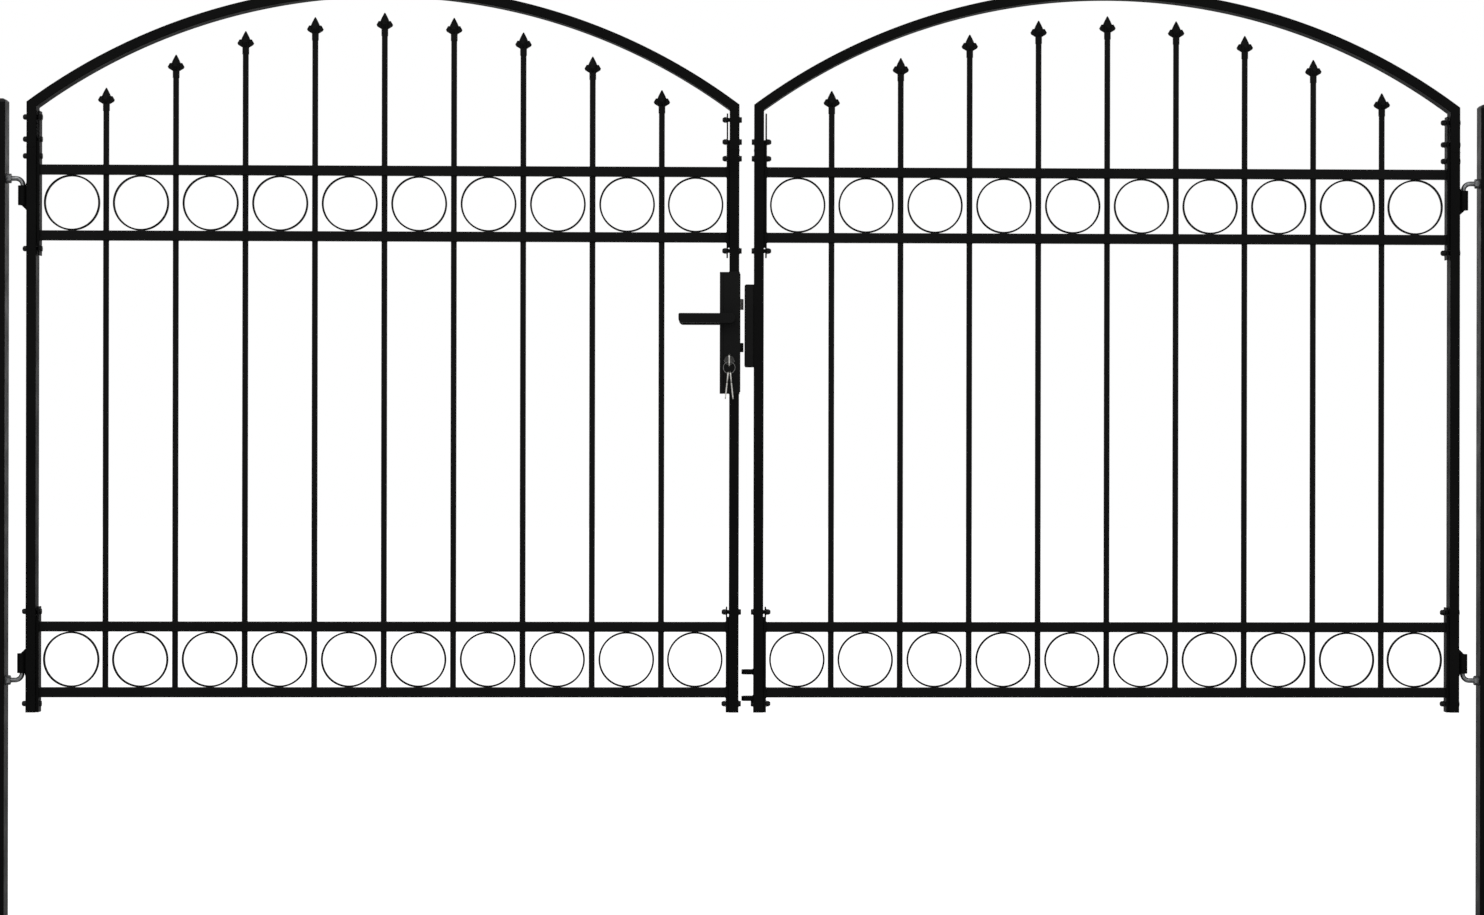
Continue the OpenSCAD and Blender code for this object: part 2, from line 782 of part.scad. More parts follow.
module right_arch() { color(coat) on_right_leaf() arch(); }
module right_hinge_stile() { color(coat) on_right_leaf() stile(0, stile_h); }
module right_meeting_stile() { color(coat) on_right_leaf() at_meeting_edge() stile(0, stile_h); }
module right_upper_rails() { color(coat) on_right_leaf() upper_rails(); }
module right_lower_rails() { color(coat) on_right_leaf() lower_rails(); }
module right_pickets() { color(coat) on_right_leaf() pickets(); }
module right_spearheads() { color(coat) on_right_leaf() spearheads(); }
module right_upper_rings() { color(coat) on_right_leaf() rings(rail_3); }
module right_lower_rings() { color(coat) on_right_leaf() rings(rail_1); }
module right_end_channels() { color(coat) on_right_leaf() end_channels(); }
module right_hinge_barrels() { color(coat) on_right_leaf() hinge_barrels(); }

left_post();
right_post();
left_post_cap();
right_post_cap();
left_hinge_pins();
right_hinge_pins();
left_hinge_nuts();
right_hinge_nuts();
left_arch();
left_hinge_stile();
left_meeting_stile();
left_upper_rails();
left_lower_rails();
left_pickets();
left_spearheads();
left_upper_rings();
left_lower_rings();
left_end_channels();
left_hinge_barrels();
right_arch();
right_hinge_stile();
right_meeting_stile();
right_upper_rails();
right_lower_rails();
right_pickets();
right_spearheads();
right_upper_rings();
right_lower_rings();
right_end_channels();
right_hinge_barrels();
lock_case();
lock_side_box();
key_cylinder();
key_in_lock();
key_ring();
spare_keys();
front_lever();
back_lever();
lever_spindle();
latch();
dead_bolt();
keeper();
drop_rod_lugs();
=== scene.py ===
"""Double garden gate: its finishes, round arches, rings, bolts, welds, threads and key ring."""
import math

import bmesh
import bpy
from mathutils import Matrix, Vector


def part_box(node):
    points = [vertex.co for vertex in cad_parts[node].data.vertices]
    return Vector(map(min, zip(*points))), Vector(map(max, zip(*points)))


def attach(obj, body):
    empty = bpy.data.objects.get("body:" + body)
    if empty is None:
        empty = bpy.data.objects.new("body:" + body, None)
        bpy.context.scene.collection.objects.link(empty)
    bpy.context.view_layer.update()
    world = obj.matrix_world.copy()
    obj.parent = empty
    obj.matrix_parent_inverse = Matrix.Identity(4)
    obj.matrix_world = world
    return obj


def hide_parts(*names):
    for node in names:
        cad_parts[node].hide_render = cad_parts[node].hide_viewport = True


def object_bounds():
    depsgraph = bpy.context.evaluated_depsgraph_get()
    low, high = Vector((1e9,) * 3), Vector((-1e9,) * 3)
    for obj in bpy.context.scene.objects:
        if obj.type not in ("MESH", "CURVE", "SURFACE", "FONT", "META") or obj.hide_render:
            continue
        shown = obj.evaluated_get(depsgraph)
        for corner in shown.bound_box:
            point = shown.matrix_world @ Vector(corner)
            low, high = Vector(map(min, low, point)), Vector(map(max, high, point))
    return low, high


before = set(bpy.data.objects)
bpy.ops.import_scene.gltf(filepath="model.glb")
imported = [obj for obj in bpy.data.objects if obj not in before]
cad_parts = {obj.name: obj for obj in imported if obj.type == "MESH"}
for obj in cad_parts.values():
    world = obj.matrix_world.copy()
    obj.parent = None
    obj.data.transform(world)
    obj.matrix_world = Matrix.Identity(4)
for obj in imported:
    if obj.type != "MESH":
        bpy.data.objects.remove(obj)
cad_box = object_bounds()

MM = 0.001
QUARTER = math.pi / 2
SIDES = ("left", "right")
BANDS = ("lower", "upper")
STILES = ("hinge", "meeting")

# Points closer than MERGE become one; NEAR and SAME are the slack of a test by place
MERGE = 0.01 * MM
NEAR = 0.1 * MM
SAME = 0.001 * MM

# Faces that turn less than FLAT are one face, and an edge that turns more than SHARP is a corner
FLAT = math.radians(0.5)
SHARP = math.radians(35)

# Camera, in metres and degrees of the part's frame
CAMERA_PLACE = (1.4887, -7.520, 1.0292)
CAMERA_TURN = (90, -0.106, -1.456)
LENS_MM = 89.45
SENSOR_MM = 36
LENS_SHIFT = (-0.0540, 0.0033)

# Floor: its side, middle and tone, the half-widths of the ellipse round the gate that shows shadow,
# where the ellipse starts and ends to fade, and the floor's glow in it and beyond
FLOOR_SIZE = 60
FLOOR_PLACE = (1.5, 20, 0)
FLOOR_TONE = 0.86
SHADOW_FLOOR = (2.6, 1.1)
SHADOW_FADE = (0.65, 1)
FLOOR_GLOW = (0.44, 0.62)

# Light: strength of the soft light from all round; place, aim, size and watts of each lamp
SOFT_LIGHT = 0.55
LAMPS = {
    "soft_key": ((-0.4, -4.2, 4.4), (1.5, 0, 1.1), 3.0, 55),
    "soft_fill": ((4.6, -3.6, 3.2), (1.6, 0, 1.1), 2.6, 22),
}

# Colours, the darkest and the palest of each
COAT_BLACK = ((0.0022, 0.0022, 0.0023), (0.0042, 0.0042, 0.004))
COAT_DUST = ((0.012, 0.0118, 0.011), (0.03, 0.029, 0.027))
CAP_BLACK = ((0.0048, 0.0048, 0.005), (0.0082, 0.0082, 0.0082))
ZINC_GREY = ((0.112, 0.115, 0.118), (0.266, 0.27, 0.273))
CYLINDER_GREY = ((0.04, 0.04, 0.039), (0.075, 0.074, 0.071))
# The latch's grey is partly its steel and partly painted sheen: paler than the steel, so it looks lit
# in the shade of its slot
LATCH_GREY_AND_PAINTED_SHEEN = ((0.5, 0.485, 0.46), (0.64, 0.625, 0.6))
RING_GREY = ((0.10, 0.1, 0.098), (0.2, 0.199, 0.195))
KEY_SILVER = ((0.42, 0.415, 0.39), (0.60, 0.59, 0.555))

# Frame tube: its width, wall and the round of its edges, and the height of the arches' legs
FRAME_TUBE = 20 * MM
FRAME_WALL = 1.5 * MM
FRAME_ROUND = 2 * MM
ARCH_LEG = 92 * MM

# Infill: pickets in a leaf, thickness of the ring strip and the round of its edges
PICKETS = 9
RING_STRIP = 3.4 * MM
RING_EDGE = 0.5 * MM

# Frame bolts: heights above the leaf's underside, and their sizes
BOLT_HEIGHTS = (17 * MM, 204 * MM, 940 * MM, 1128 * MM, 1162 * MM, 1207 * MM)
BOLT_FLATS = 11 * MM
BOLT_NUT = 4.4 * MM
BOLT_COLLAR_R = 4.9 * MM
BOLT_COLLAR = 2 * MM
BOLT_WASHER_R = 6.6 * MM
BOLT_WASHER_T = 1.2 * MM
BOLT_SHANK_R = 3.5 * MM
SPACER_R = 4.2 * MM

# Face of each stile that carries the nuts, packing under them, thread past them, height of the heads
BOLT_SETS = {
    ("left", "hinge"): ("outer", 2 * MM, 0.6 * MM, 2.3 * MM),
    ("right", "hinge"): ("inner", 2 * MM, 0.8 * MM, 2.3 * MM),
    ("left", "meeting"): ("inner", 0.3 * MM, 0.8 * MM, 3.8 * MM),
    ("right", "meeting"): ("inner", 0.3 * MM, 1.2 * MM, 3.8 * MM),
}

# Weld beads: their radius on each joint, and the size of the clouds that ripple them
RAIL_BEAD = 1.3 * MM
PICKET_BEAD = 0.9 * MM
RING_BEAD = 1.6 * MM
TUBE_BEAD = 0.7 * MM
BARREL_BEAD = 2.4 * MM
KEEPER_BEAD = 1.6 * MM
RIPPLE = 3 * MM

# Corners that the beads run round: on a rail, and on a stile
RAIL_CORNER = 1.8 * MM
STILE_CORNER = 2 * MM

# Barrel welds: length of a barrel, runs before and behind its axis, bead at its end, fillet behind it
BARREL_LENGTH = 40 * MM
BARREL_RUN = 6.5 * MM
BARREL_END = 13 * MM
FILLET_HEIGHT = 10 * MM
FILLET_REACH = 13 * MM
FILLET_WIDTH = 12 * MM

# Thickness of a drop rod lug
LUG = 10 * MM

# Threads of the hinge pins: pitch, height over the rod and depth in it, length that shows by the nuts
THREAD_PITCH = 1.5 * MM
THREAD_CREST = 0.15 * MM
THREAD_ROOT = 0.35 * MM
THREAD_BARE = 7 * MM


# Selection and modelling helpers

def clear_selection():
    if bpy.context.mode != "OBJECT":
        bpy.ops.object.mode_set(mode="OBJECT")
    bpy.ops.object.select_all(action="DESELECT")


def pick(*pieces):
    clear_selection()
    for piece in pieces:
        piece.select_set(True)
    bpy.context.view_layer.objects.active = pieces[-1]


def open_mesh(piece, kind="FACE"):
    pick(piece)
    bpy.ops.object.mode_set(mode="EDIT")
    bpy.ops.mesh.select_mode(type=kind)
    return bmesh.from_edit_mesh(piece.data)


def close_mesh():
    bpy.ops.object.mode_set(mode="OBJECT")


def mark(piece, mesh, parts, test):
    """Selects the faces, edges or vertices that pass a test, and nothing else."""
    bpy.ops.mesh.select_all(action="DESELECT")
    for part in parts:
        if test(part):
            part.select_set(True)
    mesh.select_flush_mode()
    bmesh.update_edit_mesh(piece.data)


def set_in_place(piece, name):
    pick(piece)
    bpy.ops.object.transform_apply(location=True, rotation=True, scale=True)
    piece.name = name
    piece.data.name = name
    return piece


def apply_modifier(piece, kind, **settings):
    pick(piece)
    modifier = piece.modifiers.new(kind.lower(), kind)
    for key, value in settings.items():
        setattr(modifier, key, value)
    bpy.ops.object.modifier_apply(modifier=modifier.name)


def face_outwards(piece):
    open_mesh(piece)
    bpy.ops.mesh.select_all(action="SELECT")
    bpy.ops.mesh.remove_doubles(threshold=MERGE)
    bpy.ops.mesh.normals_make_consistent(inside=False)
    close_mesh()


def close_ends(piece):
    """Fills the open ends of a swept piece."""
    open_mesh(piece, "VERT")
    bpy.ops.mesh.select_all(action="SELECT")
    bpy.ops.mesh.region_to_loop()
    bpy.ops.mesh.fill_holes(sides=0)
    close_mesh()
    face_outwards(piece)


def smooth(piece, degrees):
    pick(piece)
    bpy.ops.object.shade_smooth_by_angle(angle=math.radians(degrees))


def join(name, *pieces):
    pick(*pieces)
    bpy.ops.object.join()
    return set_in_place(bpy.context.object, name)


def place_copies(model, name, places):
    """One piece of copies of a model, each with its own mesh at its own place."""
    copies = []
    for place in places:
        copy = model.copy()
        copy.data = model.data.copy()
        bpy.context.collection.objects.link(copy)
        copy.matrix_world = place
        copies.append(copy)
    bpy.data.objects.remove(model)
    return join(name, *copies)


def at(x, y, z, turn=Matrix.Identity(4)):
    return Matrix.Translation((x, y, z)) @ turn


def turned(angle, axis):
    return Matrix.Rotation(angle, 4, axis)


def dress(piece, body, material):
    piece.data.materials.clear()
    piece.data.materials.append(material)
    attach(piece, body)
    return piece


# Materials

def new_material(name):
    material = bpy.data.materials.new(name)
    material.use_nodes = True
    return material, material.node_tree.nodes, material.node_tree.links


def noise(material, scale, detail, stretch=(1, 1, 1)):
    nodes, links = material.node_tree.nodes, material.node_tree.links
    place = nodes.new("ShaderNodeTexCoord")
    mapping = nodes.new("ShaderNodeMapping")
    mapping.inputs["Scale"].default_value = stretch
    texture = nodes.new("ShaderNodeTexNoise")
    texture.inputs["Scale"].default_value = scale
    texture.inputs["Detail"].default_value = detail
    links.new(place.outputs["Object"], mapping.inputs["Vector"])
    links.new(mapping.outputs["Vector"], texture.inputs["Vector"])
    return texture.outputs["Fac"]


def graded(material, source, low, high, start=0.3, end=0.7):
    """A value between low and high, as the source goes from start to end."""
    nodes, links = material.node_tree.nodes, material.node_tree.links
    span = nodes.new("ShaderNodeMapRange")
    span.inputs["From Min"].default_value = start
    span.inputs["From Max"].default_value = end
    span.inputs["To Min"].default_value = low
    span.inputs["To Max"].default_value = high
    links.new(source, span.inputs["Value"])
    return span.outputs["Result"]


def tinted(material, source, dark, light, start=0.3, end=0.7):
    """A colour between dark and light, as the source goes from start to end."""
    nodes, links = material.node_tree.nodes, material.node_tree.links
    ramp = nodes.new("ShaderNodeValToRGB")
    ramp.color_ramp.elements[0].position = start
    ramp.color_ramp.elements[0].color = (*dark, 1)
    ramp.color_ramp.elements[1].position = end
    ramp.color_ramp.elements[1].color = (*light, 1)
    links.new(source, ramp.inputs["Fac"])
    return ramp.outputs["Color"]


def mixed(material, share, first, second):
    nodes, links = material.node_tree.nodes, material.node_tree.links
    mix = nodes.new("ShaderNodeMix")
    mix.data_type = "RGBA"
    links.new(share, mix.inputs["Factor"])
    links.new(first, mix.inputs["A"])
    links.new(second, mix.inputs["B"])
    return mix.outputs["Result"]


def bumped(material, height, strength, distance):
    nodes, links = material.node_tree.nodes, material.node_tree.links
    bump = nodes.new("ShaderNodeBump")
    bump.inputs["Strength"].default_value = strength
    bump.inputs["Distance"].default_value = distance
    links.new(height, bump.inputs["Height"])
    return bump.outputs["Normal"]


def facing_up(material):
    """How far a face points upwards, from 0 to 1."""
    nodes, links = material.node_tree.nodes, material.node_tree.links
    geometry = nodes.new("ShaderNodeNewGeometry")
    parts = nodes.new("ShaderNodeSeparateXYZ")
    links.new(geometry.outputs["Normal"], parts.inputs["Vector"])
    return graded(material, parts.outputs["Z"], 0, 1, 0.5, 1)


def product(material, first, second):
    nodes, links = material.node_tree.nodes, material.node_tree.links
    times = nodes.new("ShaderNodeMath")
    times.operation = "MULTIPLY"
    links.new(first, times.inputs[0])
    links.new(second, times.inputs[1])
    return times.outputs["Value"]


def make_powder_coat(name, peel, gloss, level):
    """Black powder coat: fine orange peel, slow changes of gloss, a little dust on what faces up."""
    material, nodes, links = new_material(name)
    coat = nodes["Principled BSDF"]
    black = tinted(material, noise(material, 7, 3), *COAT_BLACK)
    dust = tinted(material, noise(material, 60, 4), *COAT_DUST)
    dust_patches = graded(material, noise(material, 18, 5), 0, 0.4)
    dust_share = product(material, facing_up(material), dust_patches)
    roughness = graded(material, noise(material, 26, 3), gloss - 0.06, gloss + 0.08)
    orange_peel = bumped(material, noise(material, 480, 2), peel, 0.4 * MM)
    links.new(mixed(material, dust_share, black, dust), coat.inputs["Base Color"])
    links.new(roughness, coat.inputs["Roughness"])
    links.new(orange_peel, coat.inputs["Normal"])
    coat.inputs["Specular IOR Level"].default_value = level
    return material


def make_plastic():
    """Black moulded plastic of the post caps, with a fine grain."""
    material, nodes, links = new_material("cap_plastic")
    plastic = nodes["Principled BSDF"]
    black = tinted(material, noise(material, 30, 3), *CAP_BLACK)
    roughness = graded(material, noise(material, 90, 2), 0.48, 0.62)
    grain = bumped(material, noise(material, 1500, 1), 0.15, 0.15 * MM)
    links.new(black, plastic.inputs["Base Color"])
    links.new(roughness, plastic.inputs["Roughness"])
    links.new(grain, plastic.inputs["Normal"])
    plastic.inputs["Specular IOR Level"].default_value = 0.2
    return material


def make_metal(name, tones, rough, patches, brushing, grain=0.1, bare=1):
    """Bare, plated or dulled metal: cloudy tone, and fine marks drawn along the given stretch; a
    dulled metal's pale colour can carry painted sheen.
    """
    material, nodes, links = new_material(name)
    metal = nodes["Principled BSDF"]
    metal.inputs["Metallic"].default_value = bare
    cloudy = tinted(material, noise(material, patches, 4), *tones)
    marks = noise(material, 900, 3, brushing)
    links.new(cloudy, metal.inputs["Base Color"])
    links.new(graded(material, marks, rough - 0.07, rough + 0.1), metal.inputs["Roughness"])
    links.new(bumped(material, marks, grain, 0.1 * MM), metal.inputs["Normal"])
    return material


powder_coat = make_powder_coat("powder_coat", peel=0.04, gloss=0.5, level=0.042)
post_coat = make_powder_coat("post_coat", peel=0.04, gloss=0.4, level=0.042)
infill_coat = make_powder_coat("infill_coat", peel=0.04, gloss=0.48, level=0.07)
lock_coat = make_powder_coat("lock_coat", peel=0.04, gloss=0.44, level=0.09)
bolt_black = make_powder_coat("blackened_bolt", peel=0.05, gloss=0.4, level=0.2)
cap_plastic = make_plastic()
zinc_plate = make_metal("zinc_plate", ZINC_GREY, rough=0.36, patches=160, brushing=(0.3, 1, 1))
cylinder_steel = make_metal(
    "cylinder_steel", CYLINDER_GREY, rough=0.38, patches=120, brushing=(1, 0.1, 1))
# Latch: dulled steel whose pale colour holds painted sheen in place of the light it would reflect
latch_steel = make_metal(
    "latch_steel", LATCH_GREY_AND_PAINTED_SHEEN, rough=0.45, patches=90, brushing=(0.15, 1, 1), bare=0.2)
ring_steel = make_metal(
    "ring_steel", RING_GREY, rough=0.3, patches=200, brushing=(1, 1, 1), grain=0.06)
key_nickel = make_metal(
    "key_nickel", KEY_SILVER, rough=0.25, patches=140, brushing=(1, 1, 0.12), grain=0.025)


def both_sides(values):
    """The same values for the left and the right node of each name."""
    return {f"{side}_{name}": value for side in SIDES for name, value in values.items()}


# Nodes that are not in the frame's powder coat
NODE_FINISH = {
    **both_sides({
        "post": post_coat, "post_cap": cap_plastic,
        "hinge_pins": zinc_plate, "hinge_nuts": zinc_plate,
        "lower_rails": infill_coat, "upper_rails": infill_coat,
        "pickets": infill_coat, "spearheads": infill_coat,
    }),
    "lock_case": lock_coat, "lock_side_box": lock_coat, "front_lever": lock_coat,
    "back_lever": lock_coat, "dead_bolt": lock_coat, "keeper": lock_coat,
    "key_cylinder": cylinder_steel, "lever_spindle": cylinder_steel, "latch": latch_steel,
    "key_in_lock": key_nickel, "spare_keys": key_nickel,
}

# Edges that come sharp from the frame and are round on the gate
EDGE_RADII = {
    **both_sides({
        "post_cap": 0.6 * MM, "end_channels": 0.6 * MM,
        "hinge_barrels": 0.8 * MM, "spearheads": 0.7 * MM,
    }),
    "lock_case": 0.8 * MM, "lock_side_box": 0.8 * MM, "keeper": 0.8 * MM, "drop_rod_lugs": 1 * MM,
    "front_lever": 2 * MM, "back_lever": 2 * MM, "latch": 0.6 * MM, "dead_bolt": 0.6 * MM,
    "key_cylinder": 0.2 * MM, "key_in_lock": 0.3 * MM, "spare_keys": 0.3 * MM,
}


def finish_nodes():
    for name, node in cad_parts.items():
        node.data.materials.clear()
        node.data.materials.append(NODE_FINISH.get(name, powder_coat))


def soften_edges():
    for name, radius in EDGE_RADII.items():
        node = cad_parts[name]
        weld = node.modifiers.new("one_skin", "WELD")
        weld.merge_threshold = MERGE
        flat = node.modifiers.new("whole_faces", "DECIMATE")
        flat.decimate_type = "DISSOLVE"
        flat.angle_limit = FLAT
        edges = node.modifiers.new("soft_edges", "BEVEL")
        edges.width = radius
        edges.segments = 3
        edges.limit_method = "ANGLE"
        edges.angle_limit = SHARP
        node.modifiers.new("even_shading", "WEIGHTED_NORMAL")


# Places taken from the frame

def leaf_foot(side):
    low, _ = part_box(f"{side}_hinge_stile")
    return low.z


def picket_places(side):
    """Where a leaf's pickets stand along it, and their radius."""
    low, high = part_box(f"{side}_pickets")
    radius = (high.y - low.y) / 2
    first, last = low.x + radius, high.x - radius
    pitch = (last - first) / (PICKETS - 1)
    return [first + i * pitch for i in range(PICKETS)], radius


def ring_places(side, band):
    """Where the rings of a band stand along a leaf: one at each end, the others between pickets."""
    low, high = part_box(f"{side}_{band}_rings")
    radius = (high.z - low.z) / 2
    pickets, _ = picket_places(side)
    middles = [(a + b) / 2 for a, b in zip(pickets, pickets[1:])]
    return [low.x + radius, *middles, high.x - radius]


def rail_places(side):
    """Heights of a leaf's rails, from the lowest up, and half their side."""
    heights = []
    for band in BANDS:
        low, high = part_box(f"{side}_{band}_rails")
        half = (high.y - low.y) / 2
        heights += [low.z + half, high.z - half]
    return heights, half


# Arches

def bend_evenly(arch, low, high):
    """Divides the bent walls of an arch's tube, and lays their points on true arcs."""
    half = (high.x - low.x) / 2
    rise = high.z - low.z - ARCH_LEG
    radius = (half ** 2 + rise ** 2) / (2 * rise)
    middle_x, middle_z = low.x + half, high.z - radius
    walls = [radius - inset for inset in (0, FRAME_WALL, FRAME_TUBE - FRAME_WALL, FRAME_TUBE)]

    def reach(point):
        return math.hypot(point.co.x - middle_x, point.co.z - middle_z)

    def wall_of(point):
        nearest = min(walls, key=lambda wall: abs(reach(point) - wall))
        return nearest if abs(reach(point) - nearest) < FRAME_WALL / 3 else None

    def bends(edge):
        first, second = edge.verts
        level = abs(first.co.y - second.co.y) < NEAR
        return level and wall_of(first) is not None and wall_of(first) == wall_of(second)

    mesh = bmesh.from_edit_mesh(arch.data)
    mark(arch, mesh, mesh.edges, bends)
    bpy.ops.mesh.subdivide(number_cuts=3)
    mesh = bmesh.from_edit_mesh(arch.data)
    for point in mesh.verts:
        wall = wall_of(point)
        if wall is not None:
            share = wall / reach(point)
            point.co.x = middle_x + (point.co.x - middle_x) * share
            point.co.z = middle_z + (point.co.z - middle_z) * share
    bmesh.update_edit_mesh(arch.data)


def round_arch(side):
    """A leaf's arch, evenly bent, with the long edges of its tube as round as the stiles' edges."""
    node = f"{side}_arch"
    low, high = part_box(node)
    arch = bpy.data.objects.new("arch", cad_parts[node].data.copy())
    bpy.context.collection.objects.link(arch)
    open_mesh(arch, "EDGE")
    bpy.ops.mesh.select_all(action="SELECT")
    bpy.ops.mesh.remove_doubles(threshold=MERGE)
    bpy.ops.mesh.dissolve_limited(angle_limit=FLAT)
    bend_evenly(arch, low, high)

    def runs_along(edge):
        first, second = (end.co for end in edge.verts)
        in_front = max(first.y, second.y) < low.y + NEAR
        behind = min(first.y, second.y) > high.y - NEAR
        corner = len(edge.link_faces) == 2 and edge.calc_face_angle() > SHARP
        return (in_front or behind) and corner and max(first.z, second.z) > low.z + NEAR

    mesh = bmesh.from_edit_mesh(arch.data)
    mesh.normal_update()
    mark(arch, mesh, mesh.edges, runs_along)
    bpy.ops.mesh.bevel(offset=FRAME_ROUND, segments=4, affect="EDGES")
    close_mesh()
    set_in_place(arch, f"{side}_round_arch")
    smooth(arch, 30)
    apply_modifier(arch, "WEIGHTED_NORMAL", keep_sharp=True)
    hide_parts(node)
    return dress(arch, f"{side}_leaf", powder_coat)


# Rings

def rolled_strip(radius, depth):
    """A ring of flat strip with worn edges, rolled round the Y axis."""
    clear_selection()
    bpy.ops.mesh.primitive_plane_add(size=1, location=(radius - RING_STRIP / 2, 0, 0))
    ring = bpy.context.object
    ring.scale = (RING_STRIP, depth, 1)
    set_in_place(ring, "strip")
    open_mesh(ring, "VERT")
    bpy.ops.mesh.select_all(action="SELECT")
    bpy.ops.mesh.bevel(offset=RING_EDGE, segments=3, affect="VERTICES")
    bpy.ops.mesh.select_all(action="SELECT")
    bpy.ops.mesh.delete(type="ONLY_FACE")
    close_mesh()
    apply_modifier(ring, "SCREW", axis="Y", steps=96, render_steps=96, use_merge_vertices=True)
    face_outwards(ring)
    return ring


def ring_band(side, band):
    """The ten rings of a leaf's band, in the place of the frame's."""
    node = f"{side}_{band}_rings"
    low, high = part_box(node)
    model = rolled_strip((high.z - low.z) / 2, high.y - low.y)
    middle = (low.z + high.z) / 2
    rings = place_copies(
        model, f"{side}_{band}_ring_strips", [at(x, 0, middle) for x in ring_places(side, band)])
    smooth(rings, 40)
    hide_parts(node)
    return dress(rings, f"{side}_leaf", infill_coat)


# Frame bolts

def hexagon(flats, height, chamfer):
    """A hexagon along +X from x = 0, with its flats up and down and its outer end chamfered."""
    clear_selection()
    bpy.ops.mesh.primitive_cylinder_add(
        vertices=6, radius=flats / 2 / math.cos(math.pi / 6), depth=height,
        location=(height / 2, 0, 0), rotation=(0, QUARTER, 0))
    piece = set_in_place(bpy.context.object, "hexagon")
    mesh = open_mesh(piece)
    mark(piece, mesh, mesh.faces, lambda face: face.normal.x > 0.9)
    bpy.ops.mesh.inset(thickness=chamfer, depth=0)

    def on_rim(vertex):
        return vertex.co.x > height - SAME and math.hypot(vertex.co.y, vertex.co.z) > flats / 2

    mesh = bmesh.from_edit_mesh(piece.data)
    mark(piece, mesh, mesh.verts, on_rim)
    bpy.ops.transform.translate(value=(-chamfer * 0.6, 0, 0))
    close_mesh()
    return piece


def round_disc(radius, start, end, edge):
    """A disc along +X with a softened outer rim."""
    clear_selection()
    bpy.ops.mesh.primitive_cylinder_add(
        vertices=20, radius=radius, depth=end - start,
        location=((start + end) / 2, 0, 0), rotation=(0, QUARTER, 0))
    piece = set_in_place(bpy.context.object, "disc")
    mesh = open_mesh(piece, "EDGE")
    mark(piece, mesh, mesh.edges, lambda line: min(v.co.x for v in line.verts) > end - SAME)
    bpy.ops.mesh.bevel(offset=edge, segments=3, affect="EDGES")
    close_mesh()
    return piece


def bolt_head(height):
    """A hexagon head on its washer."""
    head = hexagon(BOLT_FLATS, height, chamfer=0.8 * MM)
    pick(head)
    bpy.ops.transform.translate(value=(BOLT_WASHER_T, 0, 0))
    washer = round_disc(BOLT_WASHER_R, 0, BOLT_WASHER_T, edge=0.3 * MM)
    return join("bolt_head", washer, head)


def bolt_nut(packing, end):
    """A lock nut with its round collar, on a washer and packing, and the bolt's thread past it."""
    nut = hexagon(BOLT_FLATS, BOLT_NUT, chamfer=0.5 * MM)
    pick(nut)
    bpy.ops.transform.translate(value=(packing + BOLT_WASHER_T, 0, 0))
    sleeve = round_disc(SPACER_R, 0, packing, edge=0.1 * MM)
    washer = round_disc(BOLT_WASHER_R, packing, packing + BOLT_WASHER_T, edge=0.3 * MM)
    top = packing + BOLT_WASHER_T + BOLT_NUT
    collar = round_disc(BOLT_COLLAR_R, top - 0.4 * MM, top + BOLT_COLLAR, edge=1.2 * MM)
    shank = round_disc(BOLT_SHANK_R, top, top + BOLT_COLLAR + end, edge=0.7 * MM)
    return join("bolt_nut", sleeve, washer, shank, collar, nut)


def spacers(start, end, heights):
    """Short tubes on the bolts, in the gap between a stile and its end channels."""
    clear_selection()
    bpy.ops.mesh.primitive_cylinder_add(
        vertices=20, radius=SPACER_R, depth=end - start, rotation=(0, QUARTER, 0))
    piece = set_in_place(bpy.context.object, "spacer")
    mesh = open_mesh(piece, "EDGE")
    mark(piece, mesh, mesh.edges, lambda line: abs(line.verts[0].co.x - line.verts[1].co.x) < SAME)
    bpy.ops.mesh.bevel(offset=0.25 * MM, segments=1, affect="EDGES")
    close_mesh()
    return place_copies(piece, "spacers", [at((start + end) / 2, 0, z) for z in heights])


def frame_bolts(side):
    """Bolts through a leaf's stiles and end channels.

    The right leaf lost its top bolt beside the other leaf.
    """
    foot = leaf_foot(side)
    to_left, to_right = turned(math.pi, "Z"), Matrix.Identity(4)
    rails_low, rails_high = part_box(f"{side}_upper_rails")
    for edge in STILES:
        low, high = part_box(f"{side}_{edge}_stile")
        heights = [foot + height for height in BOLT_HEIGHTS]
        if (side, edge) == ("right", "meeting"):
            heights.pop()
        if low.x < rails_low.x:
            outer_places = [at(low.x, 0, z, to_left) for z in heights]
            inner_places = [at(rails_low.x, 0, z, to_right) for z in heights]
            gap = (high.x, rails_low.x)
        else:
            outer_places = [at(high.x, 0, z, to_right) for z in heights]
            inner_places = [at(rails_high.x, 0, z, to_left) for z in heights]
            gap = (rails_high.x, low.x)
        nut_face, packing, end, head = BOLT_SETS[side, edge]
        nut_places, head_places = outer_places, inner_places
        if nut_face == "inner":
            nut_places, head_places = inner_places, outer_places
        heads = place_copies(bolt_head(head), "heads", head_places)
        nuts = place_copies(bolt_nut(packing, end), "nuts", nut_places)
        bolts = join(f"{side}_{edge}_bolts", heads, nuts, spacers(*gap, heights))
        smooth(bolts, 35)
        dress(bolts, f"{side}_leaf", bolt_black)


# Welds

weld_ripple = bpy.data.textures.new("weld_ripple", "CLOUDS")
weld_ripple.noise_scale = RIPPLE
weld_ripple.noise_depth = 1


def rough_bead(piece, strength):
    """Gives a bead the uneven skin of a run weld."""
    apply_modifier(piece, "DISPLACE", texture=weld_ripple, texture_coords="LOCAL",
                   strength=strength, mid_level=0.5)
    smooth(piece, 80)


